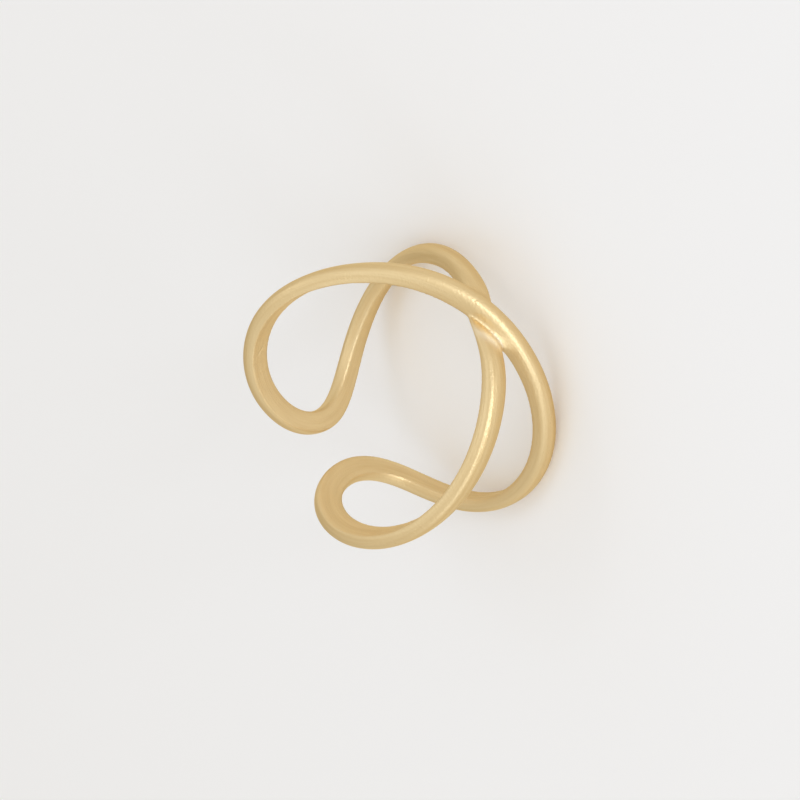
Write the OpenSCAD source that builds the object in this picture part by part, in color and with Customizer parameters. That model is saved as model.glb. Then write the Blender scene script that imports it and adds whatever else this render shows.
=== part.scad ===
// Open finger ring in one piece. A slim band runs as a closed figure of eight round the finger.
// It crosses over itself at the front, and its two loops reach round towards each other,
// leaving a gap at the back, so that the ring can be eased open a little.
// The ring lies on its side, as it comes to rest by itself, with the crossing towards -Y.
// The origin is on the surface, under the middle of the ring's box.
//
// The band's path is a function of a turn angle t, which follows the band once round:
// t = 0 is the crossing on the pass that lies over, t = 90 the end of the right loop,
// t = 180 the crossing on the pass that lies under, and t = 270 the end of the left loop.

/* [Finger] */
// Inner diameter of the ring
inner_d = 17; // [15:0.1:21]

/* [Loops] */
// Mean reach of the two loops round the finger, from the crossing to the loop end, in degrees
loop_reach = 167; // [155:0.5:170]
// How far round the middle of the gap lies from the point opposite the crossing, in degrees
gap_offset = 17.5; // [0:0.5:20]
// Half of the loops' spread along the finger
loop_spread = 6.25; // [5:0.05:8]
// How far the four strands bow round towards the left, in degrees
strand_bow = 10.5; // [0:0.5:12]
// Bluntness of the loop ends round the finger, as waves 3 and 5 of the turn, in degrees
blunt_around = [-4.8, 3]; // [-6:0.1:6]
// Bluntness of the loops along the finger, as waves 4 and 6 of the turn
blunt_along = [-0.27, 0.2]; // [-0.4:0.01:0.4]
// Angle round the finger between the two passes at the crossing, in degrees
pass_angle = 5.2; // [0:0.1:8]
// Uneven height of the right loop over the left one along the finger
loop_rise = 0.37; // [-0.6:0.01:0.6]
// Uneven height of the strands along the finger by hand forming, as cosine waves 1 to 4
strand_rise = [0.54, 0.13, 0.19, -0.24]; // [-0.6:0.01:0.6]

/* [Band] */
// Mean width of the band
band_w = 1.86; // [1.4:0.01:2.4]
// Unevenness of the width, on sine 1 and cosines 1, 2 and 4 of the turn
width_waves = [-0.09, -0.14, -0.04, -0.15]; // [-0.2:0.01:0.2]
// Thickness of the band, outwards from the finger
band_t = 1.19; // [0.9:0.01:1.8]
// Extra thickness of the pass that lies over, at the crossing
over_rise = 0.36; // [0:0.01:0.7]
// Length of that rise along the band, as a turn angle in degrees
over_turn = 14.3; // [8:0.1:25]
// Most that the pass that lies under is thinned, where it comes out from under the other
under_dip = 0.75; // [0:0.01:0.9]
// Where it is thinnest, as a turn angle in degrees
dip_place = 184.5; // [176:0.5:190]
// Length of that thinning before and after its thinnest place, as turn angles in degrees
dip_turns = [3.2, 5.5]; // [2:0.1:10]
// Extra width of that pass on its upper side, before and after the crossing
flares = [-0.2, 0.42]; // [-0.5:0.01:0.6]
// Where that extra width lies, as turn angles in degrees
flare_places = [171, 184.5]; // [165:0.5:195]
// Length of each part of that extra width, as a turn angle in degrees
flare_turn = 5; // [3:0.1:10]
// Twist of the band about its own path, on sines 1 and 2 and cosine 1 of the turn, in degrees
band_twist = [3.4, -7.4, -1.3]; // [-10:0.1:10]
// Share of the width that lies flat on the finger
flat_share = 0.79; // [0.6:0.01:0.95]
// Share of the thickness at which the band is widest
widest_share = 0.45; // [0.2:0.01:0.6]
// Fullness of the domed outside: 2 is an ellipse, more is squarer
dome_power = 2.4; // [2:0.1:4]

/* [Rest] */
// Lean of the finger axis from upright where the ring lies by itself, in degrees
lean = 14.6; // [0:0.1:30]
// Side to which it leans, in degrees round the finger from the crossing
lean_side = -18.7; // [-90:0.1:90]

/* [Finish] */
// Number of sections round the whole figure of eight
sections = 180; // [96:4:200]

/* [Hidden] */

// Colour of the satin gold
gold = [0.87, 0.74, 0.47];
// Steps round the domed outside of a section, and in each rounded inner edge
dome_steps = 10;
edge_steps = 3;
// Turn that brings the crossing to the front
front_turn = -90;
// Small step of the turn angle that gives the path's direction
nudge = 0.01;

inner_r = inner_d / 2;

function unit(v) = v / norm(v);

// Place of the path round the finger, in degrees, and along the finger
function around(t) =
    loop_reach * sin(t)
    - gap_offset * pow(sin(t), 2)
    - strand_bow * pow(sin(2 * t), 2)
    + blunt_around * [sin(3 * t) + sin(t), sin(5 * t) - sin(t)]
    - pass_angle / 2 * cos(t);
function along(t) =
    loop_spread * sin(2 * t)
    + blunt_along * [sin(4 * t), sin(6 * t)]
    + loop_rise * sin(t)
    + strand_rise * [cos(t), cos(2 * t), cos(3 * t), cos(4 * t)];

// Middle of the band's finger side at turn t
function on_path(t) =
    [inner_r * cos(around(t)), inner_r * sin(around(t)), along(t)];

// Width and thickness of the band at turn t, and its extra width on the upper side
function bell(x) = exp(-pow(x, 2));
function width(t) = band_w + width_waves * [sin(t), cos(t), cos(2 * t), cos(4 * t)];
function flare(t) = flares * [for (place = flare_places) bell((t - place) / flare_turn)];
function from_over(t) = t > 180 ? t - 360 : t;
function from_dip(t) = (t - dip_place) / dip_turns[t > dip_place ? 1 : 0];
function thickness(t) =
    band_t
    + over_rise * bell(from_over(t) / over_turn)
    - under_dip * bell(from_dip(t));
function twist(t) = band_twist * [sin(t), sin(2 * t), cos(t)];

// Band's directions at turn t: [across, outwards]
function directions(t) =
    let (
        ahead = unit(on_path(t + nudge) - on_path(t - nudge)),
        radial = [cos(around(t)), sin(around(t)), 0],
        out = unit(radial - (radial * ahead) * ahead),
        across = cross(ahead, out),
        a = twist(t)
    )
    [across * cos(a) - out * sin(a), out * cos(a) + across * sin(a)];

// Section of the band as shares of its half width and its thickness:
// flat on the finger, rounded inner edges, a domed outside
function power(v, p) = sign(v) * pow(abs(v), p);
function dome_point(a) = [
    power(cos(a), 2 / dome_power),
    widest_share + (1 - widest_share) * power(sin(a), 2 / dome_power)
];
function edge_point(a, side) = [
    side * (flat_share + (1 - flat_share) * cos(a)),
    widest_share * (1 - sin(a))
];
SECTION = concat(
    [for (i = [0:dome_steps]) dome_point(180 * i / dome_steps)],
    [for (i = [1:edge_steps]) edge_point(90 * i / edge_steps, -1)],
    [for (i = [edge_steps:-1:1]) edge_point(90 * i / edge_steps, 1)]
);

// A point as the ring lies at rest, before it is centred
function turn_z(p, a) = [p.x * cos(a) - p.y * sin(a), p.x * sin(a) + p.y * cos(a), p.z];
function lean_y(p, a) = [p.x * cos(a) + p.z * sin(a), p.y, p.z * cos(a) - p.x * sin(a)];
function at_rest(p) = turn_z(lean_y(turn_z(p, -lean_side), lean), lean_side + front_turn);

// One section of the band, as a list of points
function place_across(q, t) = q.x * width(t) / 2 + max(q.x, 0) * flare(t);
function section_at(t) =
    let (d = directions(t))
    [for (q = SECTION)
        at_rest(on_path(t) + d[0] * place_across(q, t) + d[1] * q.y * thickness(t))];

RINGS = [for (i = [0:sections - 1]) section_at(360 * i / sections)];

// Middle of the ring's box, and the surface that it lies on
function side(axis) = [for (ring = RINGS) for (p = ring) p[axis]];
function middle(axis) = (min(side(axis)) + max(side(axis))) / 2;
FOOT = [middle(0), middle(1), min(side(2))];

// Half of the figure of eight as one closed skin over its sections, from section `first` on
module strand(first) {
    n = len(SECTION);
    half = sections / 2;
    points = [for (i = [0:half]) each RINGS[(first + i) % sections]];
    walls = [
        for (i = [0:half - 1])
        for (k = [0:n - 1])
        let (a = i * n + k, b = i * n + (k + 1) % n)
        each [[a, b, b + n], [a, b + n, a + n]]
    ];
    // The ends are fans of the same triangles, so that two strands meet exactly
    start = [for (k = [1:n - 2]) [0, k + 1, k]];
    end = [for (k = [1:n - 2]) [half * n, half * n + k, half * n + k + 1]];
    polyhedron(points, concat(walls, start, end));
}

// The over and the under pass, joined at the crossing and at both loop ends
module band() {
    color(gold)
    translate(-FOOT)
    union() {
        strand(sections * 3 / 4);
        strand(sections / 4);
    }
}

band();
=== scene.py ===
"""Looks of an open figure-of-eight finger ring in satin-brushed yellow gold.

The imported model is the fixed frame. One piece, the gold band, stands for the solid band: it
has the same path and section, with a soft solder seam where the strands cross and a surface
that is filed by hand and brushed. Its sizes are in millimetres and degrees, in the same words
as the part's source, and its tree brings it to metres near its end.
"""

from __future__ import annotations

import logging
import math
from dataclasses import dataclass, field, fields
from enum import Enum

import bpy
from mathutils import Matrix, Vector

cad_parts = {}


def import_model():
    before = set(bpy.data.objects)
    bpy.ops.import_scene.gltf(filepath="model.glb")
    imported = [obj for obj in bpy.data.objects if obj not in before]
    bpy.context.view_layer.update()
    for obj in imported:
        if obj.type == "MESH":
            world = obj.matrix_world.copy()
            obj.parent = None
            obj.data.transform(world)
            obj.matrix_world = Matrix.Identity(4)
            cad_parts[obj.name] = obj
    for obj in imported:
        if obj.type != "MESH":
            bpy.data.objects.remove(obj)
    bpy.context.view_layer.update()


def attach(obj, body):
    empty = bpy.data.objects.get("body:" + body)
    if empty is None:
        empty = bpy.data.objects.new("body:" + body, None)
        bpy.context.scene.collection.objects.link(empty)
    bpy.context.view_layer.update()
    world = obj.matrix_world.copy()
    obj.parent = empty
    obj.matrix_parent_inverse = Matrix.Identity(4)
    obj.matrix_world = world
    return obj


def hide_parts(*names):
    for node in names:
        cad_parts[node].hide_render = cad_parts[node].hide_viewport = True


LOG = logging.getLogger("ring")
MM = 0.001
DEGREE = math.pi / 180
FULL_TURN = 360.0
HALF_TURN = 180.0
QUARTER_TURN = 90.0


def linear(colour: str) -> tuple[float, float, float, float]:
    """Turns an sRGB hex value such as #d8b878 into the linear colour that nodes take."""
    shares = [int(colour[i : i + 2], 16) / 255 for i in (1, 3, 5)]
    return (*(s / 12.92 if s <= 0.04045 else ((s + 0.055) / 1.055) ** 2.4 for s in shares), 1.0)


def in_scene(name: str, data: bpy.types.ID) -> bpy.types.Object:
    """Makes an object of its data, and puts it in the scene.

    Args:
        name: The object's name.
        data: Its mesh, light or camera.

    Returns:
        The object.
    """
    thing = bpy.data.objects.new(name, data)
    bpy.context.scene.collection.objects.link(thing)
    return thing


def emptied(owner: bpy.types.Material | bpy.types.World) -> bpy.types.NodeTree:
    """Empties the tree of nodes of a material or a world.

    Args:
        owner: The material or the world.

    Returns:
        Its tree, without nodes.
    """
    owner.use_nodes = True
    owner.node_tree.nodes.clear()
    return owner.node_tree


class Tree:
    """A tree of nodes that is being built."""

    def __init__(self, nodes: bpy.types.NodeTree) -> None:
        """Keeps the tree that gets the nodes."""
        self.nodes = nodes

    def add(self, kind: str, inputs: dict | None = None, **settings: object) -> Value:
        """Adds a node with its settings and links.

        Args:
            kind: The node's type, such as ShaderNodeMath.
            inputs: For an input's name or number, the Value to link or the plain value to set.
            settings: The node's own properties.

        Returns:
            The node's first output. A node that ends a tree has none.
        """
        node = self.nodes.nodes.new(kind)
        for name, setting in settings.items():
            setattr(node, name, setting)
        for key, value in (inputs or {}).items():
            if isinstance(value, Value):
                self.nodes.links.new(value.socket, node.inputs[key])
            else:
                node.inputs[key].default_value = value
        return Value(self, next(iter(node.outputs), None))


@dataclass(frozen=True)
class Value:
    """An output of a node: a number, an arrow or a mesh. Arithmetic on it adds nodes."""

    tree: Tree
    socket: bpy.types.NodeSocket

    def output(self, name: int | str) -> Value:
        """Another output of the same node."""
        return Value(self.tree, self.socket.node.outputs[name])

    def apply(self, operation: str, *others: Value | float | tuple[float, ...]) -> Value:
        """Does an operation on this value and others, all numbers or all arrows."""
        kind = "ShaderNodeVectorMath" if self.socket.type == "VECTOR" else "ShaderNodeMath"
        return self.tree.add(kind, dict(enumerate((self, *others))), operation=operation)

    def __add__(self, other: Value | float) -> Value:
        """Sum."""
        return self.apply("ADD", other)

    def __sub__(self, other: Value | float) -> Value:
        """Difference."""
        return self.apply("SUBTRACT", other)

    def __rsub__(self, other: float) -> Value:
        """Difference of a plain number and this one."""
        return self * -1 + other

    def __mul__(self, other: Value | float) -> Value:
        """Product. An arrow is made longer or shorter.

        Args:
            other: The number to multiply by.

        Returns:
            The product.
        """
        if self.socket.type == "VECTOR":
            inputs = {0: self, "Scale": other}
            return self.tree.add("ShaderNodeVectorMath", inputs, operation="SCALE")
        return self.apply("MULTIPLY", other)

    def __truediv__(self, other: Value | float) -> Value:
        """Quotient."""
        return self.apply("DIVIDE", other)

    def __rtruediv__(self, other: float) -> Value:
        """Quotient of a plain number and this one."""
        return self.apply("POWER", -1.0) * other

    __radd__ = __add__
    __rmul__ = __mul__

    def to_power(self, power: Value | float) -> Value:
        """The size of a number to this power, with the number's sign."""
        return self.apply("ABSOLUTE").apply("POWER", power) * self.apply("SIGN")

    def within(self, low: float, high: float) -> Value:
        """A number held between two others."""
        return self.apply("MAXIMUM", low).apply("MINIMUM", high)

    def dot(self, other: Value | tuple[float, ...]) -> Value:
        """Dot product of two arrows."""
        return self.apply("DOT_PRODUCT", other).output("Value")

    def length(self) -> Value:
        """Length of an arrow."""
        return self.apply("LENGTH").output("Value")


def sin(angle: Value) -> Value:
    """Sine of an angle in degrees."""
    return (angle * DEGREE).apply("SINE")


def cos(angle: Value) -> Value:
    """Cosine of an angle in degrees."""
    return (angle * DEGREE).apply("COSINE")


def bell(place: Value) -> Value:
    """Falls from 1 at 0 towards 0 on both sides, as exp(-place * place) does."""
    return (place * place * -1).apply("EXPONENT")


@dataclass(frozen=True)
class BandSizes:
    """Driving sizes of the band, as in the part's source."""

    inner_d: float = 17.0
    loop_reach: float = 167.0
    gap_offset: float = 17.5
    loop_spread: float = 6.25
    strand_bow: float = 10.5
    blunt_around: tuple[float, ...] = (-4.8, 3.0)
    blunt_along: tuple[float, ...] = (-0.27, 0.2)
    pass_angle: float = 5.2
    loop_rise: float = 0.37
    strand_rise: tuple[float, ...] = (0.54, 0.13, 0.19, -0.24)
    band_w: float = 1.86
    width_waves: tuple[float, ...] = (-0.09, -0.14, -0.04, -0.15)
    band_t: float = 1.19
    over_rise: float = 0.36
    over_turn: float = 14.3
    under_dip: float = 0.75
    dip_place: float = 184.5
    dip_turns: tuple[float, ...] = (3.2, 5.5)
    flare_places: tuple[float, ...] = (171.0, 184.5)
    flares: tuple[float, ...] = (-0.2, 0.42)
    flare_turn: float = 5.0
    band_twist: tuple[float, ...] = (3.4, -7.4, -1.3)
    flat_share: float = 0.79
    widest_share: float = 0.45
    dome_power: float = 2.4
    lean: float = 14.6
    lean_side: float = -18.7


@dataclass(frozen=True)
class HandSizes:
    """What the maker's hand leaves on the band: the solder seam and the filing."""

    seam_turn: float = 0.0  # turn angle at which the seam's middle lies
    seam_zone: float = 4.8  # distance from there within which the strands blend
    wide_seam: float = 1.3  # reach of the seam in the wide corner below the crossing
    fine_seam: float = 0.3  # reach of the seam above the crossing
    wide_height: float = -0.6  # place along the finger below which the seam is wide
    fine_height: float = 1.2  # and above which it is fine
    open_share: float = 0.35  # share of that reach where walls don't face each other
    skin: float = 0.006  # taken off all over
    filing: float = 0.03  # depth of the low places that filing leaves
    filing_length: float = 2.6  # from one low place to the next
    filing_seed: float = 4.0


@dataclass(frozen=True)
class MeshSizes:
    """How finely the band is made."""

    rings: int = 720  # sections of the tube
    section_points: int = 72
    merge: float = 0.0001  # points of the tube that are closer than this become one
    voxel: float = 0.1
    voxel_depth: float = 0.4  # how deep under the tube's walls the voxels go
    skin_level: float = 0.1  # density of the voxels at which the fused skin lies
    rounds: int = 2  # of fusing and settling
    settle_steps: int = 3  # in each round
    least_slope: float = 0.1  # keeps a step short where the strands' walls face each other


class Kept(Enum):
    """Arrows that the points of the band's mesh keep."""

    PLACE = "place_round_finger"
    OUTWARD = "outward_on_tube"
    ROUND = "strand_round"
    SECTION = "strand_section"


class BandTree(Tree):
    """The tree of nodes that makes the band. The band's sizes are its inputs."""

    FRONT_TURN = -90.0  # brings the crossing to the front
    NUDGE = 0.4  # step of the turn angle that gives the path's direction
    EDGE_PART = 0.6  # share of the finger side's points that round its edges
    ROUND_R = 18.3  # radius of a circle as long as the band's path

    def __init__(self, sizes: BandSizes, hand: HandSizes, mesh: MeshSizes) -> None:
        """Makes a tree with the sizes as its inputs.

        Args:
            sizes: The band's driving sizes.
            hand: The sizes of the solder seam and the filing.
            mesh: How finely the band is made.
        """
        super().__init__(bpy.data.node_groups.new("figure_of_eight_band", "GeometryNodeTree"))
        self.mesh = mesh
        self.values: dict[str, float] = {}
        self.nodes.interface.new_socket(
            "Geometry", in_out="OUTPUT", socket_type="NodeSocketGeometry"
        )
        self.source = self.nodes.nodes.new("NodeGroupInput")
        self.size = self.take(sizes)
        self.hand = self.take(hand)
        self.place = self.add("GeometryNodeInputPosition")
        self.kept = {
            name: self.add(
                "GeometryNodeInputNamedAttribute", {"Name": name.value}, data_type="FLOAT_VECTOR"
            )
            for name in Kept
        }

    def take(self, sizes: BandSizes | HandSizes) -> BandSizes | HandSizes:
        """Gives the tree an input for each size.

        Args:
            sizes: The sizes as plain numbers.

        Returns:
            The same sizes, each one as an input of the tree.
        """
        taken = {}
        for item in fields(sizes):
            size = getattr(sizes, item.name)
            label = item.name.replace("_", " ").capitalize()
            if isinstance(size, tuple):
                taken[item.name] = [
                    self.number(f"{label} {i + 1}", part) for i, part in enumerate(size)
                ]
            else:
                taken[item.name] = self.number(label, size)
        return type(sizes)(**taken)

    def number(self, label: str, size: float) -> Value:
        """Gives the tree one input, and keeps the size for the modifier.

        Args:
            label: The input's name.
            size: The number that the modifier will set.

        Returns:
            The input.
        """
        socket = self.nodes.interface.new_socket(
            label, in_out="INPUT", socket_type="NodeSocketFloat"
        )
        self.values[socket.identifier] = size
        return Value(self, self.source.outputs[label])

    def around(self, t: Value) -> Value:
        """Place of the path round the finger.

        Args:
            t: The turn angle.

        Returns:
            The angle round the finger, in degrees.
        """
        s = self.size
        return (
            s.loop_reach * sin(t)
            - s.gap_offset * sin(t) * sin(t)
            - s.strand_bow * sin(t * 2) * sin(t * 2)
            + s.blunt_around[0] * (sin(t * 3) + sin(t))
            + s.blunt_around[1] * (sin(t * 5) - sin(t))
            - s.pass_angle / 2 * cos(t)
        )

    def along(self, t: Value) -> Value:
        """Place of the path along the finger.

        Args:
            t: The turn angle.

        Returns:
            The place, in mm.
        """
        s = self.size
        rises = sum(rise * cos(t * (i + 1)) for i, rise in enumerate(s.strand_rise))
        return (
            s.loop_spread * sin(t * 2)
            + s.blunt_along[0] * sin(t * 4)
            + s.blunt_along[1] * sin(t * 6)
            + s.loop_rise * sin(t)
            + rises
        )

    def radial(self, t: Value) -> Value:
        """Direction away from the finger's axis at turn t."""
        turned = self.around(t)
        return self.add("ShaderNodeCombineXYZ", {"X": cos(turned), "Y": sin(turned)})

    def on_path(self, t: Value) -> Value:
        """Middle of the band's finger side at turn t."""
        height = self.add("ShaderNodeCombineXYZ", {"Z": self.along(t)})
        return self.radial(t) * (self.size.inner_d / 2) + height

    def width(self, t: Value) -> Value:
        """Width of the band.

        Args:
            t: The turn angle.

        Returns:
            The width, in mm.
        """
        s = self.size
        waves = (sin(t), cos(t), cos(t * 2), cos(t * 4))
        return s.band_w + sum(share * wave for share, wave in zip(s.width_waves, waves))

    def flare(self, t: Value) -> Value:
        """Extra width on one side of the pass that lies under.

        Args:
            t: The turn angle.

        Returns:
            The extra width, in mm.
        """
        s = self.size
        bells = (bell((t - place) / s.flare_turn) for place in s.flare_places)
        return sum(flare * each for flare, each in zip(s.flares, bells))

    def thickness(self, t: Value) -> Value:
        """Thickness of the band: more on the pass over, less on the pass under.

        Args:
            t: The turn angle.

        Returns:
            The thickness, in mm.
        """
        s = self.size
        from_over = t - t.apply("GREATER_THAN", HALF_TURN) * FULL_TURN
        rise = s.over_rise * bell(from_over / s.over_turn)
        before, after = s.dip_turns
        dip_turn = before + (after - before) * t.apply("GREATER_THAN", s.dip_place)
        return s.band_t + rise - s.under_dip * bell((t - s.dip_place) / dip_turn)

    def directions(self, t: Value) -> tuple[Value, Value]:
        """Directions of the band, with its twist.

        Args:
            t: The turn angle.

        Returns:
            The directions across the band and outwards.
        """
        ahead = (self.on_path(t + self.NUDGE) - self.on_path(t - self.NUDGE)).apply("NORMALIZE")
        radial = self.radial(t)
        out = (radial - ahead * radial.dot(ahead)).apply("NORMALIZE")
        across = ahead.apply("CROSS_PRODUCT", out)
        waves = (sin(t), sin(t * 2), cos(t))
        a = sum(share * wave for share, wave in zip(self.size.band_twist, waves))
        return across * cos(a) - out * sin(a), out * cos(a) + across * sin(a)

    def section(self, share: Value) -> tuple[Value, Value]:
        """The section: flat on the finger, with rounded inner edges and a domed outside.

        Args:
            share: How far round the section a point is. The dome is the first half.

        Returns:
            The point's place across, as a share of half the width, and its place outwards,
            as a share of the thickness.
        """
        s = self.size
        dome = share.apply("LESS_THAN", 0.5)
        a = share * FULL_TURN
        power = 2.0 / s.dome_power
        dome_x = cos(a).to_power(power)
        dome_y = s.widest_share + (1.0 - s.widest_share) * sin(a).to_power(power)
        # Runs from -1 to 1 along the finger side, which is the second half
        inner = share * 4 - 3
        from_middle = inner.apply("ABSOLUTE")
        edge = ((1.0 - from_middle) / self.EDGE_PART).apply("MINIMUM", 1.0) * QUARTER_TURN
        reach = (from_middle / (1 - self.EDGE_PART)).apply("MINIMUM", 1.0)
        edge_x = s.flat_share * reach + (1.0 - s.flat_share) * cos(edge)
        edge_y = s.widest_share * (1.0 - sin(edge))
        rest = 1.0 - dome
        return dome * dome_x + rest * edge_x * inner.apply("SIGN"), dome * dome_y + rest * edge_y

    def keep(self, geometry: Value, arrows: dict[Kept, Value]) -> Value:
        """Keeps arrows on the points of a mesh.

        Args:
            geometry: The mesh.
            arrows: What each point keeps under each name.

        Returns:
            The mesh with the arrows.
        """
        for name, arrow in arrows.items():
            inputs = {"Geometry": geometry, "Name": name.value, "Value": arrow}
            geometry = self.add(
                "GeometryNodeStoreNamedAttribute", inputs, data_type="FLOAT_VECTOR", domain="POINT"
            )
        return geometry

    def on_nearest(self, surface: Value, *arrows: Value) -> list[Value]:
        """What arrows are on the spot of a surface that is nearest to a point.

        Args:
            surface: The mesh that has the arrows.
            arrows: The arrows.

        Returns:
            The same arrows, as they are on that spot.
        """
        spot = {"Mesh": surface, "Sample Position": self.place}
        return [
            self.add(
                "GeometryNodeSampleNearestSurface",
                {**spot, "Value": arrow},
                data_type="FLOAT_VECTOR",
            )
            for arrow in arrows
        ]

    def tube(self) -> Value:
        """The whole band as one tube that passes through itself at the crossing.

        Returns:
            The tube, round the finger's axis, with its points' arrows.
        """
        counts = {"Vertices X": self.mesh.rings + 1, "Vertices Y": self.mesh.section_points + 1}
        grid = self.add("GeometryNodeMeshGrid", {"Size X": 1.0, "Size Y": 1.0, **counts})
        # The grid's middle is at 0, so half its side is added to count from its edge
        on_grid = self.add("ShaderNodeSeparateXYZ", {0: self.place})
        t = (on_grid + 0.5) * FULL_TURN
        across_share, out_share = self.section(on_grid.output("Y") + 0.5)
        across, out = self.directions(t)
        flare = across_share.apply("MAXIMUM", 0.0) * self.flare(t)
        across_mm = across_share * self.width(t) / 2 + flare
        out_mm = out_share * self.thickness(t)
        circle = self.add("ShaderNodeCombineXYZ", {"X": cos(t), "Y": sin(t)}) * self.ROUND_R
        section = self.add("ShaderNodeCombineXYZ", {"X": across_mm, "Y": out_mm})
        spot = self.on_path(t) + across * across_mm + out * out_mm
        geometry = self.keep(
            grid, {Kept.ROUND: circle, Kept.SECTION: section, Kept.PLACE: spot}
        )
        moved = self.add(
            "GeometryNodeSetPosition", {"Geometry": geometry, "Position": self.kept[Kept.PLACE]}
        )
        closed = self.add(
            "GeometryNodeMergeByDistance", {"Geometry": moved, "Distance": self.mesh.merge}
        )
        smooth = self.add("GeometryNodeSetShadeSmooth", {"Geometry": closed})
        return self.keep(smooth, {Kept.OUTWARD: self.add("GeometryNodeInputNormal")})

    def fused(self, tube: Value) -> Value:
        """The outside alone of a tube that passes through itself.

        Args:
            tube: The tube.

        Returns:
            One closed skin of even faces.
        """
        voxels = {"Voxel Size": self.mesh.voxel}
        solid = self.add(
            "GeometryNodeMeshToVolume",
            {"Mesh": tube, "Interior Band Width": self.mesh.voxel_depth, **voxels},
            resolution_mode="VOXEL_SIZE",
        )
        return self.add(
            "GeometryNodeVolumeToMesh",
            {"Volume": solid, "Threshold": self.mesh.skin_level, **voxels},
            resolution_mode="VOXEL_SIZE",
        )

    def seam_reach(self, outward: list[Value]) -> Value:
        """How far the solder reaches. It reaches furthest between walls that face each other.

        Args:
            outward: The two strands' outward directions.

        Returns:
            The reach, in mm.
        """
        hand = self.hand
        heights = {
            "Value": self.add("ShaderNodeSeparateXYZ", {0: self.place}).output("Z"),
            "From Min": hand.fine_height,
            "From Max": hand.wide_height,
        }
        low = self.add("ShaderNodeMapRange", heights, interpolation_type="SMOOTHSTEP")
        reach = hand.fine_seam + (hand.wide_seam - hand.fine_seam) * low
        facing = (1.0 - outward[0].dot(outward[1])) / 2
        return reach * (hand.open_share + (1.0 - hand.open_share) * facing)

    def soldered(self, strands: tuple[Value, Value]) -> Value:
        """Where a point near the crossing comes to lie: on a strand, or on the solder.

        Args:
            strands: The pass over and the pass under, each as a tube.

        Returns:
            The point's new place.
        """
        outward, distance = [], []
        for strand in strands:
            normal, nearest = self.on_nearest(strand, self.kept[Kept.OUTWARD], self.place)
            outward.append(normal.apply("NORMALIZE"))
            distance.append((self.place - nearest).dot(outward[-1]))
        reach = self.seam_reach(outward)
        apart = (distance[1] - distance[0]) / reach
        share = (apart * 0.5 + 0.5).within(0.0, 1.0)
        # A smooth minimum of the two distances, which fills the corner between them
        corner = (1.0 - apart.apply("ABSOLUTE")).apply("MAXIMUM", 0.0)
        gap = distance[0].apply("MINIMUM", distance[1]) - corner * corner * reach / 4
        slope = outward[0] * share + outward[1] * (1.0 - share)
        # No solder stands inside the cylinder that the finger fills
        level = self.place.apply("MULTIPLY", (1.0, 1.0, 0.0))
        finger_gap = self.size.inner_d / 2 - level.length()
        on_finger = finger_gap.apply("GREATER_THAN", gap)
        slope = slope + (level.apply("NORMALIZE") * -1 - slope) * on_finger
        steepness = slope.dot(slope).apply("MAXIMUM", self.mesh.least_slope)
        return self.place - slope * (gap.apply("MAXIMUM", finger_gap) / steepness)

    def settled(self, skin: Value, tube: Value) -> Value:
        """Moves the skin onto the tube, and fills the corners of the crossing with solder.

        Args:
            skin: The fused skin, which lies near the tube.
            tube: The band as one tube.

        Returns:
            The skin, moved.
        """
        # The pass over is the half of the tube whose circle has X above 0
        over = self.add("ShaderNodeSeparateXYZ", {0: self.kept[Kept.ROUND]})
        strands = self.add(
            "GeometryNodeSeparateGeometry", {"Geometry": tube, "Selection": over}, domain="FACE"
        )
        from_seam = (self.place - self.on_path(self.hand.seam_turn)).length()
        near = from_seam.apply("LESS_THAN", self.hand.seam_zone)
        snapped = self.on_nearest(tube, self.place)[0]
        blended = self.soldered((strands, strands.output("Inverted")))
        goal = snapped + (blended - snapped) * near
        for _ in range(self.mesh.settle_steps):
            skin = self.add("GeometryNodeSetPosition", {"Geometry": skin, "Position": goal})
        return skin

    def filed(self, skin: Value) -> Value:
        """Takes a little off all over, unevenly, as filing by hand does.

        Args:
            skin: The band's skin.

        Returns:
            The skin, filed.
        """
        places = {
            "Vector": self.place,
            "W": self.hand.filing_seed,
            "Scale": 1.0 / self.hand.filing_length,
            "Detail": 1.0,
        }
        noise = self.add("ShaderNodeTexNoise", places, noise_dimensions="4D")
        depth = self.hand.skin + self.hand.filing * noise
        inwards = self.add("GeometryNodeInputNormal") * (depth * -1)
        return self.add("GeometryNodeSetPosition", {"Geometry": skin, "Offset": inwards})

    def at_rest(self, geometry: Value) -> Value:
        """Turns a mesh to the way the ring lies by itself.

        Args:
            geometry: The mesh, round the finger's axis.

        Returns:
            The mesh, turned.
        """
        s = self.size
        for axis, angle in (
            ("Z", s.lean_side * -1),
            ("Y", s.lean),
            ("Z", s.lean_side + self.FRONT_TURN),
        ):
            rotation = self.add("ShaderNodeCombineXYZ", {axis: angle * DEGREE})
            geometry = self.add(
                "GeometryNodeTransform", {"Geometry": geometry, "Rotation": rotation}
            )
        return geometry

    def foot(self, geometry: Value) -> Value:
        """The shift that puts a mesh on the surface, with the middle of its box at the origin.

        Args:
            geometry: The mesh, turned as it rests.

        Returns:
            The shift, as an arrow.
        """
        low = self.add("GeometryNodeBoundBox", {"Geometry": geometry}).output("Min")
        to_middle = self.add("ShaderNodeSeparateXYZ", {0: (low + low.output("Max")) * -0.5})
        down = self.add("ShaderNodeSeparateXYZ", {0: low}).output("Z") * -1
        return self.add(
            "ShaderNodeCombineXYZ", {"X": to_middle, "Y": to_middle.output("Y"), "Z": down}
        )

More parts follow.
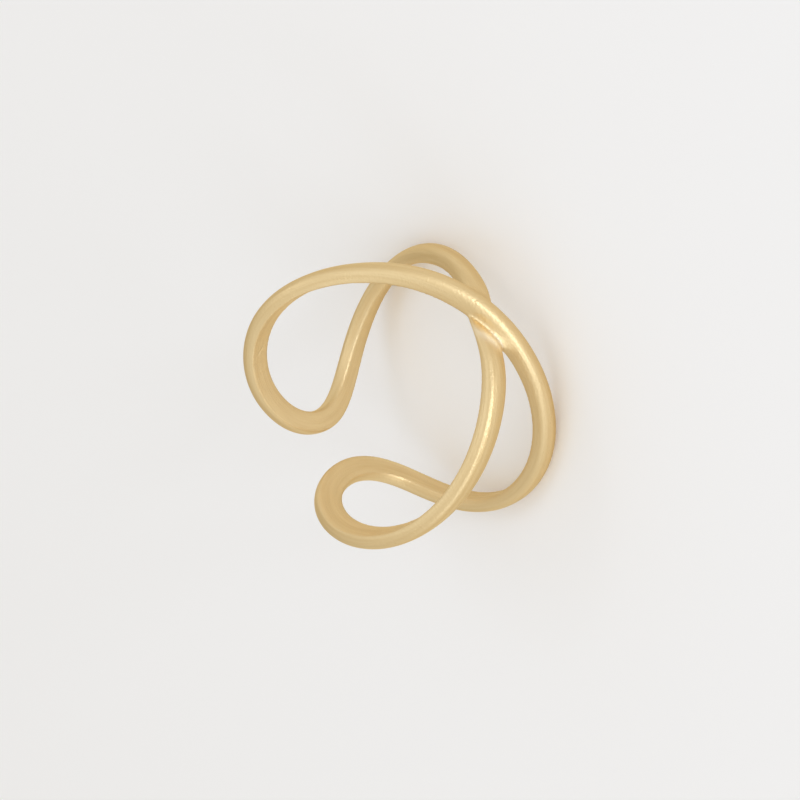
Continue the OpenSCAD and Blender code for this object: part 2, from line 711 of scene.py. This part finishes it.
    def build(self, material: bpy.types.Material) -> bpy.types.NodeTree:
        """Builds the whole tree.

        Args:
            material: The finish that the tree's last step sets.

        Returns:
            The finished tree.
        """
        tube = self.tube()
        skin = tube
        for _ in range(self.mesh.rounds):
            skin = self.settled(self.fused(skin), tube)
        names = (Kept.ROUND, Kept.SECTION)
        on_tube = self.on_nearest(tube, *(self.kept[name] for name in names))
        skin = self.keep(skin, {**dict(zip(names, on_tube)), Kept.PLACE: self.place})
        skin = self.at_rest(self.filed(skin))
        foot = self.foot(self.at_rest(tube))
        stood = self.add("GeometryNodeTransform", {"Geometry": skin, "Translation": foot})
        scaled = self.add("GeometryNodeTransform", {"Geometry": stood, "Scale": (MM, MM, MM)})
        smooth = self.add("GeometryNodeSetShadeSmooth", {"Geometry": scaled})
        real = self.add("GeometryNodeRealizeInstances", {"Geometry": smooth})
        dressed = self.add("GeometryNodeSetMaterial", {"Geometry": real, "Material": material})
        self.add("NodeGroupOutput", {0: dressed})
        return self.nodes


class MetalTree(Tree):
    """The tree of nodes of a metal, with patterns that follow the band."""

    def __init__(self, material: bpy.types.Material) -> None:
        """Empties a material's tree, and reads what the band's points keep.

        Args:
            material: The material.
        """
        super().__init__(emptied(material))
        self.place, self.round, section = (
            self.add("ShaderNodeAttribute", attribute_name=name.value).output("Vector")
            for name in (Kept.PLACE, Kept.ROUND, Kept.SECTION)
        )
        self.across = self.add("ShaderNodeSeparateXYZ", {0: section})
        self.out = self.across.output("Y")

    def from_turn(self, turn: float) -> Value:
        """The way from the spot at a turn angle along the band, in mm."""
        spot = Vector((math.cos(turn * DEGREE), math.sin(turn * DEGREE), 0)) * BandTree.ROUND_R
        return self.round.apply("SUBTRACT", tuple(spot))

    def streaks(self, length: float, width: float, seed: float) -> Value:
        """Noise that is drawn out along the band.

        Args:
            length: Of a streak, in mm.
            width: Of a streak, in mm.
            seed: Another seed gives other streaks.

        Returns:
            The noise, from -0.5 to 0.5.
        """
        level = self.round * (1 / length)
        side = self.add("ShaderNodeCombineXYZ", {"Z": self.across / width})
        inputs = {"Vector": level + side, "W": self.out / width + seed, "Scale": 1.0}
        return self.add("ShaderNodeTexNoise", inputs, noise_dimensions="4D") - 0.5

    def spots(self, size: float, seed: float) -> Value:
        """Noise that is as long as it is wide.

        Args:
            size: Of a spot, in mm.
            seed: Another seed gives other spots.

        Returns:
            The noise, from 0 to 1.
        """
        place = self.add("ShaderNodeTexCoord").output("Object")
        inputs = {"Vector": place, "W": seed, "Scale": 1 / (size * MM), "Detail": 1.0}
        return self.add("ShaderNodeTexNoise", inputs, noise_dimensions="4D")


@dataclass(frozen=True)
class Mark:
    """A soft line on the band: where its middle lies, and its size, in mm and degrees."""

    turn: float
    across: float
    slant: float  # from straight across the band
    length: float
    width: float

    def strength(self, tree: MetalTree) -> Value:
        """How strong the mark is at a spot of the band.

        Args:
            tree: The tree of the band's material.

        Returns:
            The strength, from 0 to 1.
        """
        ahead = (-math.sin(self.turn * DEGREE), math.cos(self.turn * DEGREE), 0.0)
        way = tree.from_turn(self.turn)
        across = tree.across - self.across
        slant = self.slant * DEGREE
        side = way.dot(ahead) * math.cos(slant) + across * math.sin(slant)
        from_middle = (way.dot(way) + across * across).apply("SQRT")
        return bell(side / self.width) * bell(from_middle / self.length)


@dataclass(frozen=True)
class SatinGold:
    """14 carat yellow gold, formed by hand, filed and then brushed to a satin.

    The brushing runs along the band. It scatters light widely, so the metal looks soft and
    pale, with broad highlights and no mirror images. The finger side has a scratch, and it is
    painted a little paler: painted light against the shade that the floor leaves on it. At the
    crossing file marks take the place of the brushing, and a pale patch next to the solder
    seam is a painted highlight, where the seam's fillet would catch the light.
    """

    name: str = "satin-brushed 14 ct gold"
    colour: str = "#f0d8a7"
    deep_colour: str = "#d3b278"
    edge_tint: str = "#efe2c4"
    deep_share: float = 0.35  # share of the deeper colour, over all
    deep_bands: float = 1.2  # how much the broad bands change it
    deep_finger_side: float = -0.2  # how much the finger side does; below 0 it is painted light that pales the shade there
    deep_scratch: float = -0.7  # and how much the scratch does
    roughness: float = 0.49
    roughness_spread: float = 0.16
    brush_length: float = 3.5
    brush_width: float = 0.13
    brush_depth: float = 0.036
    brush_seed: float = 3.0
    band_length: float = 9.0  # of the broader bands of tone that a tired brush leaves
    band_width: float = 0.45
    band_seed: float = 7.0
    # The real grain is about 0.01 mm, finer than a picture shows, so it is drawn coarse
    grain: float = 0.14
    grain_depth: float = 0.027
    grain_seed: float = 1.0
    finger_side_edge: float = 1 / 6  # height above the finger at which its side has faded
    crossing: tuple[float, ...] = (8.9, -1.4, 0.1)  # middle of the crossing, round the finger
    marks_zone: float = 2.3  # distance from it over which the marks give way to brushing
    marks_fullness: float = 2.0  # more than 1 keeps the middle of that zone full of marks
    mark_size: float = 0.25
    mark_depth: float = 0.03
    mark_seed: float = 5.0
    scratch: Mark = Mark(turn=56.5, across=-0.03, slant=50, length=0.5, width=0.07)
    # The next mark and colour paint a pale patch next to the seam: a painted highlight where the
    # fillet would catch the light
    solder: Mark = Mark(turn=187.9, across=0.1, slant=18, length=1.0, width=0.3)
    solder_colour: str = "#fff8e6"

    def material(self) -> bpy.types.Material:
        """Builds the material.

        Returns:
            The material with its tree.
        """
        material = bpy.data.materials.new(self.name)
        tree = MetalTree(material)
        finger_side = 1.0 - (tree.out / self.finger_side_edge).within(0.0, 1.0)
        outside = 1.0 - finger_side
        from_crossing = tree.place.apply("SUBTRACT", self.crossing).length()
        at_seam = (bell(from_crossing / self.marks_zone) * self.marks_fullness).within(0.0, 1.0)
        away = 1.0 - at_seam
        brushed = tree.streaks(self.brush_length, self.brush_width, self.brush_seed) * away
        banded = tree.streaks(self.band_length, self.band_width, self.band_seed) * away
        marks = at_seam * tree.spots(self.mark_size, self.mark_seed) * outside
        scratch = self.scratch.strength(tree) * finger_side
        deep = (
            self.deep_share
            + banded * self.deep_bands
            # Painted light: the finger side is paled against the shade that the floor leaves there
            + finger_side * self.deep_finger_side
            + scratch * self.deep_scratch
        ).within(0.0, 1.0)
        # Painted highlight next to the seam, on the outside of the band
        solder = self.solder.strength(tree) * outside
        tone = linear(self.colour)
        # Inputs 6 and 7 of this node are its colours, and output 2 is the mixed colour
        for share, colour in ((deep, self.deep_colour), (solder, self.solder_colour)):
            colours = {0: share, 6: tone, 7: linear(colour)}
            tone = tree.add("ShaderNodeMix", colours, data_type="RGBA").output(2)
        height = (
            brushed * self.brush_depth
            + tree.spots(self.grain, self.grain_seed) * self.grain_depth
            + marks * self.mark_depth
            - scratch * self.mark_depth
        )
        gold = {
            "Base Color": tone,
            "Metallic": 1.0,
            "Roughness": self.roughness + brushed * self.roughness_spread,
            "Specular Tint": linear(self.edge_tint),
            "Normal": tree.add("ShaderNodeBump", {"Height": height, "Distance": MM}),
        }
        shader = tree.add("ShaderNodeBsdfPrincipled", gold)
        tree.add("ShaderNodeOutputMaterial", {"Surface": shader})
        return material


@dataclass
class Band:
    """The ring's one piece: a slim band that runs as a figure of eight round the finger."""

    sizes: BandSizes = field(default_factory=BandSizes)
    hand: HandSizes = field(default_factory=HandSizes)
    mesh: MeshSizes = field(default_factory=MeshSizes)
    finish: SatinGold = field(default_factory=SatinGold)

    def build(self) -> bpy.types.Object:
        """Makes the dressed band with its tree of nodes.

        Returns:
            The band as a plain mesh.
        """
        tree = BandTree(self.sizes, self.hand, self.mesh)
        group = tree.build(self.finish.material())
        maker = in_scene("maker", bpy.data.meshes.new("maker"))
        modifier = maker.modifiers.new("band", "NODES")
        modifier.node_group = group
        for identifier, size in tree.values.items():
            modifier[identifier] = size
        seen = maker.evaluated_get(bpy.context.evaluated_depsgraph_get())
        mesh = bpy.data.meshes.new_from_object(seen)
        bpy.data.objects.remove(maker)
        mesh.name = "gold_band"
        return in_scene("gold_band", mesh)


@dataclass(frozen=True)
class View:
    """The camera: where it stands as seen from the ring, and how it is held.

    The image's width and height are 800 by 800.
    """

    azimuth: float = -118.463
    elevation: float = 35.746
    roll: float = -111.02
    distance: float = 258.2
    lens: float = 168.84
    nearest: float = 10.0  # distance at which the camera begins to see
    aim: tuple[float, ...] = (-0.036, 0.295, 6.899)

    def around(self, azimuth: float, elevation: float) -> Matrix:
        """The turn of a thing that looks at the ring from an angle."""
        about = Matrix.Rotation((azimuth + QUARTER_TURN) * DEGREE, 4, "Z")
        return about @ Matrix.Rotation((QUARTER_TURN - elevation) * DEGREE, 4, "X")

    def stand(self, turn: Matrix, distance: float) -> Matrix:
        """The place of a thing that has this turn and looks at the ring from a distance."""
        away = turn @ Vector((0.0, 0.0, distance))
        return Matrix.Translation((Vector(self.aim) + away) * MM) @ turn

    def build(self) -> bpy.types.Object:
        """Makes the camera and sets it as the scene's.

        Returns:
            The camera.
        """
        data = bpy.data.cameras.new("camera")
        data.lens = self.lens
        data.clip_start = self.nearest * MM
        camera = in_scene("camera", data)
        place = self.stand(self.around(self.azimuth, self.elevation), self.distance)
        camera.matrix_world = place @ Matrix.Rotation(self.roll * DEGREE, 4, "Z")
        bpy.context.scene.camera = camera
        return camera


@dataclass(frozen=True)
class Lamp:
    """A round soft light that is aimed at the ring."""

    name: str
    side: float  # degrees round the ring from the camera, anticlockwise from above
    height: float  # degrees above the floor
    size: float  # diameter
    power: float  # watts
    distance: float = 400.0
    colour: str = "#d8e6ff"

    def build(self, view: View) -> bpy.types.Object:
        """Makes the lamp.

        Args:
            view: The camera, from which the lamp's side is counted.

        Returns:
            The lamp.
        """
        data = bpy.data.lights.new(self.name, "AREA")
        data.shape = "DISK"
        data.size = self.size * MM
        data.energy = self.power
        data.color = linear(self.colour)[:3]
        lamp = in_scene(self.name, data)
        turn = view.around(view.azimuth + self.side, self.height)
        lamp.matrix_world = view.stand(turn, self.distance)
        return lamp


@dataclass(frozen=True)
class MattPaper:
    """White uncoated paper: it scatters light evenly, and has hardly any sheen."""

    name: str = "matt white paper"
    colour: str = "#faf7f2"
    roughness: float = 0.9
    sheen: float = 0.2  # where 0.5 is the usual level

    def material(self) -> bpy.types.Material:
        """Builds the material.

        Returns:
            The material with its tree.
        """
        material = bpy.data.materials.new(self.name)
        tree = Tree(emptied(material))
        paper = {
            "Base Color": linear(self.colour),
            "Roughness": self.roughness,
            "Specular IOR Level": self.sheen,
        }
        shader = tree.add("ShaderNodeBsdfPrincipled", paper)
        tree.add("ShaderNodeOutputMaterial", {"Surface": shader})
        return material


@dataclass
class Studio:
    """A pale floor, soft light all round that is dimmer on the far side, and large lamps."""

    floor_side: float = 3000.0
    paper: MattPaper = field(default_factory=MattPaper)
    world_colour: str = "#f4f4f4"
    world_strength: float = 0.915
    shade: float = 0.28  # share of the light that the middle of the far side lacks
    shade_height: float = 0.0  # degrees above the floor, of the middle of the far side
    lamps: tuple[Lamp, ...] = (
        Lamp("key", side=0, height=6, size=60, power=0.3),
        Lamp("broad key", side=-20, height=12, size=170, power=0.34),
        Lamp("side", side=-60, height=22, size=160, power=0.12),
        Lamp("left", side=75, height=60, size=220, power=0.12),
    )

    def floor(self) -> bpy.types.Object:
        """Makes the floor that the ring lies on.

        Returns:
            The floor.
        """
        half = self.floor_side / 2 * MM
        mesh = bpy.data.meshes.new("floor")
        points = [(-half, -half, 0), (half, -half, 0), (half, half, 0), (-half, half, 0)]
        mesh.from_pydata(points, [], [(0, 1, 2, 3)])
        mesh.materials.append(self.paper.material())
        return in_scene("floor", mesh)

    def light_all_round(self, view: View) -> bpy.types.World:
        """Makes the light of the studio's walls, which is dimmer behind the ring.

        Args:
            view: The camera, which sees that side behind the ring.

        Returns:
            The world that gives the light.
        """
        world = bpy.data.worlds.new("studio")
        tree = Tree(emptied(world))
        away = view.around(view.azimuth + HALF_TURN, self.shade_height) @ Vector((0, 0, 1))
        # In a world this node's first output is the direction that is looked in
        direction = tree.add("ShaderNodeTexCoord")
        behind = direction.dot(tuple(away)).apply("MAXIMUM", 0.0)
        strength = self.world_strength * (1.0 - self.shade * behind * behind)
        light = {"Color": linear(self.world_colour), "Strength": strength}
        background = tree.add("ShaderNodeBackground", light)
        tree.add("ShaderNodeOutputWorld", {"Surface": background})
        return world

    def build(self, view: View) -> None:
        """Makes the floor, the light all round and the lamps.

        Args:
            view: The camera, from which the lights' sides are counted.
        """
        self.floor()
        bpy.context.scene.world = self.light_all_round(view)
        for lamp in self.lamps:
            lamp.build(view)
        bpy.context.scene.view_settings.view_transform = "Standard"


def main() -> None:
    """Builds the ring, its studio and the camera."""
    logging.basicConfig(level=logging.INFO, format="%(name)s: %(message)s")
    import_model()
    view = View()
    view.build()
    Studio().build(view)
    band = Band().build()
    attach(band, "root")
    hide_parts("band")
    LOG.info("%s: %d faces", band.name, len(band.data.polygons))


if __name__ == "__main__":
    main()
